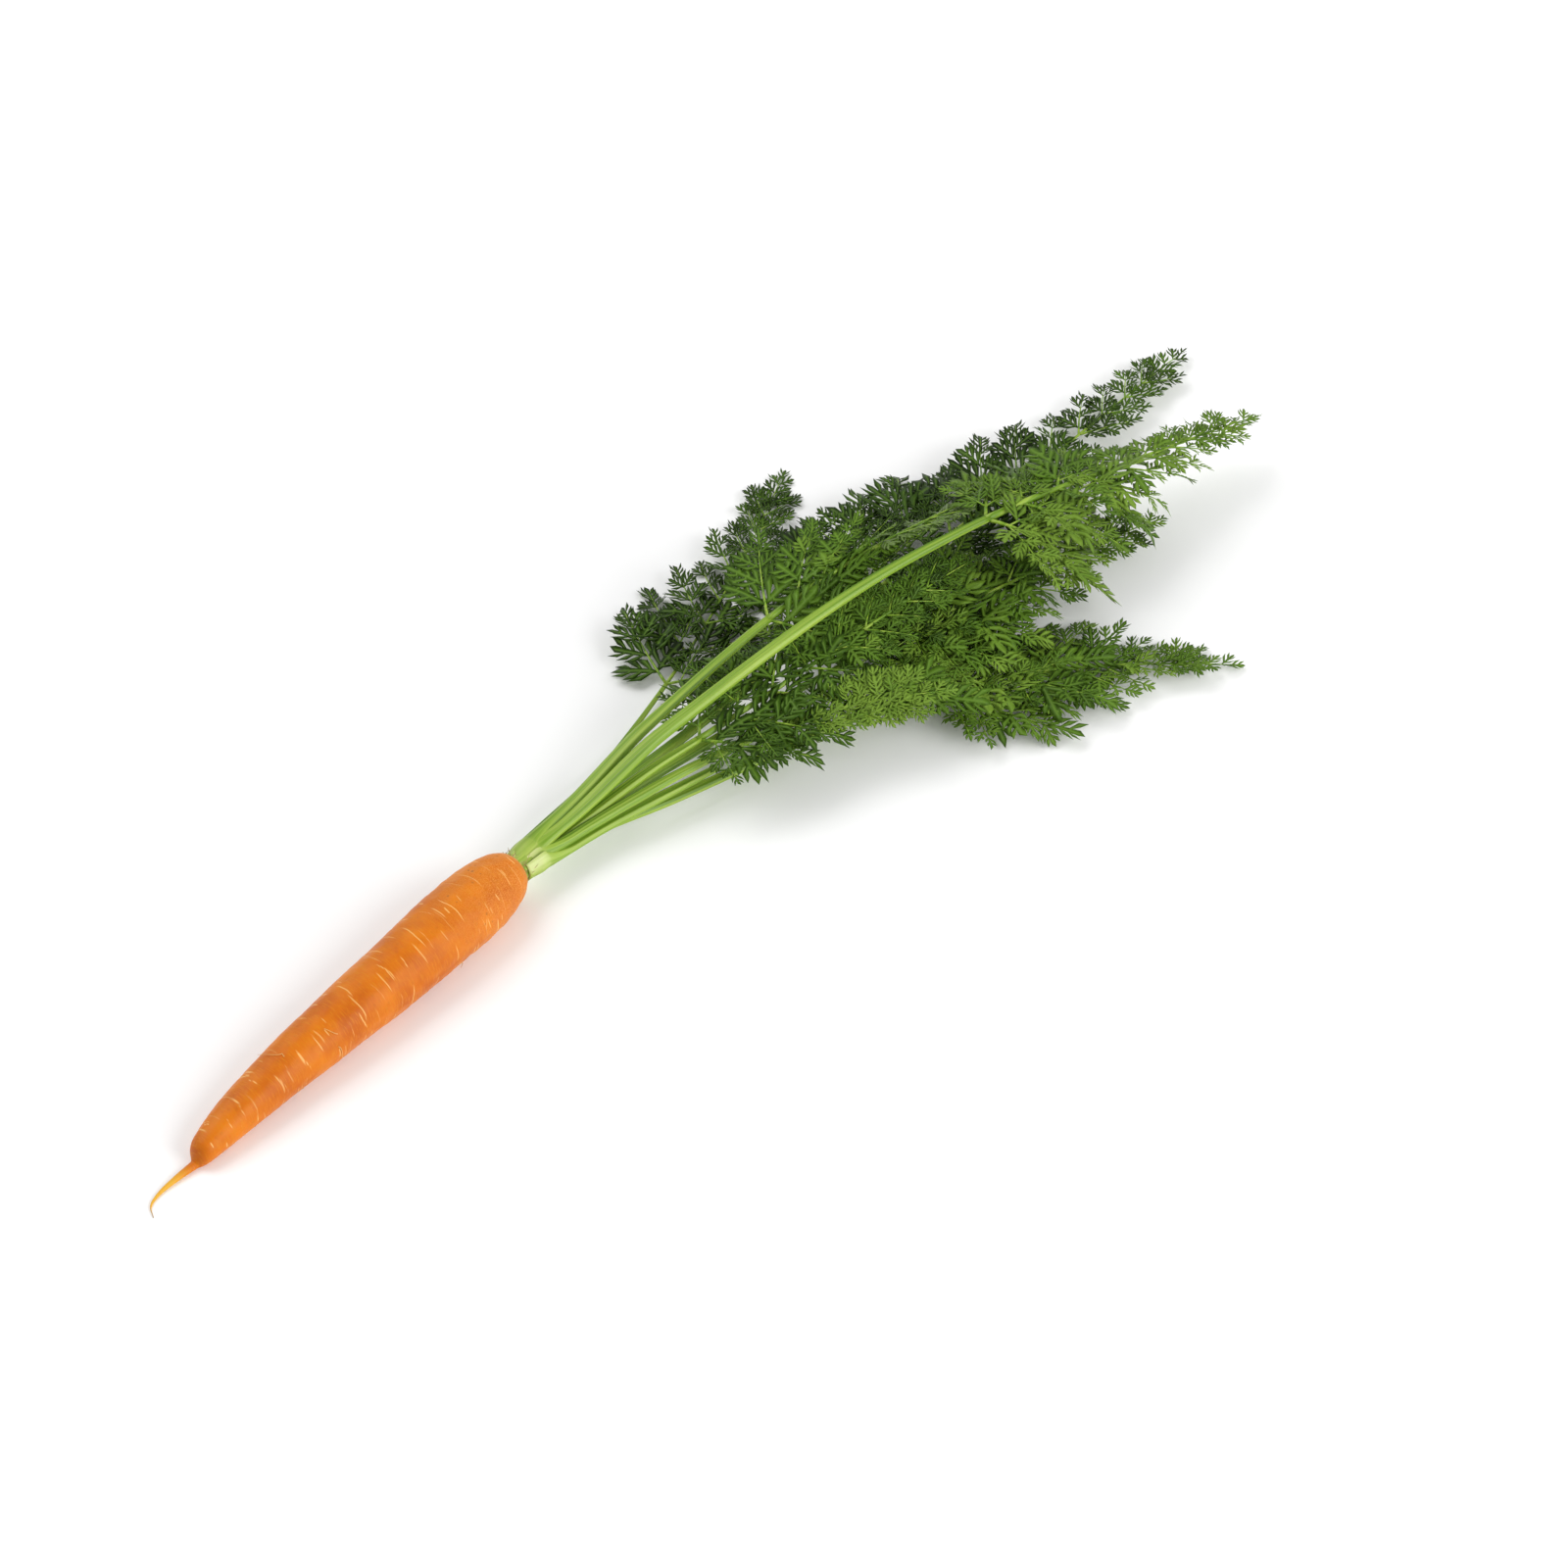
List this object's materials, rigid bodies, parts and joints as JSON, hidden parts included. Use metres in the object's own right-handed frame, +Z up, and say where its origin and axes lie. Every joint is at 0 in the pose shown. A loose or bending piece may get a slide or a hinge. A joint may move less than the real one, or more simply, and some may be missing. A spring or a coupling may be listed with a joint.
{
  "type": "carrot with greens",
  "caption": "Fresh carrot with its leafy top, a long tapered orange root lying on its side with a fan of feathery leaves on ribbed stalks.",
  "frame": {"origin": "on the surface, under the middle of the whole carrot's box", "axes": "+X along the root from the tail to the leaves, +Y to the left of that, +Z up"},
  "size_m": [0.6348, 0.2174, 0.0525],
  "materials": {
    "root_skin": "satin, slightly waxy orange skin with pale cross lines and fine pits",
    "crown": "pale green, whitish where the leaf bases wrap each other",
    "stalk": "bright yellow-green, ribbed lengthwise, satin",
    "foliage": "bright to dark green finely divided leaves with paler undersides"
  },
  "bodies": {
    "root": {"root": "root_skin", "crown": "crown", "stalk_1": "stalk", "stalk_2": "stalk", "stalk_3": "stalk", "stalk_4": "stalk", "stalk_5": "stalk", "stalk_6": "stalk", "stalk_7": "stalk", "stalk_8": "stalk", "stalk_9": "stalk", "blade_1": "foliage", "blade_2": "foliage", "blade_3": "foliage", "blade_4": "foliage", "blade_5": "foliage", "blade_6": "foliage", "blade_7": "foliage", "blade_8": "foliage"}
  },
  "joints": []
}
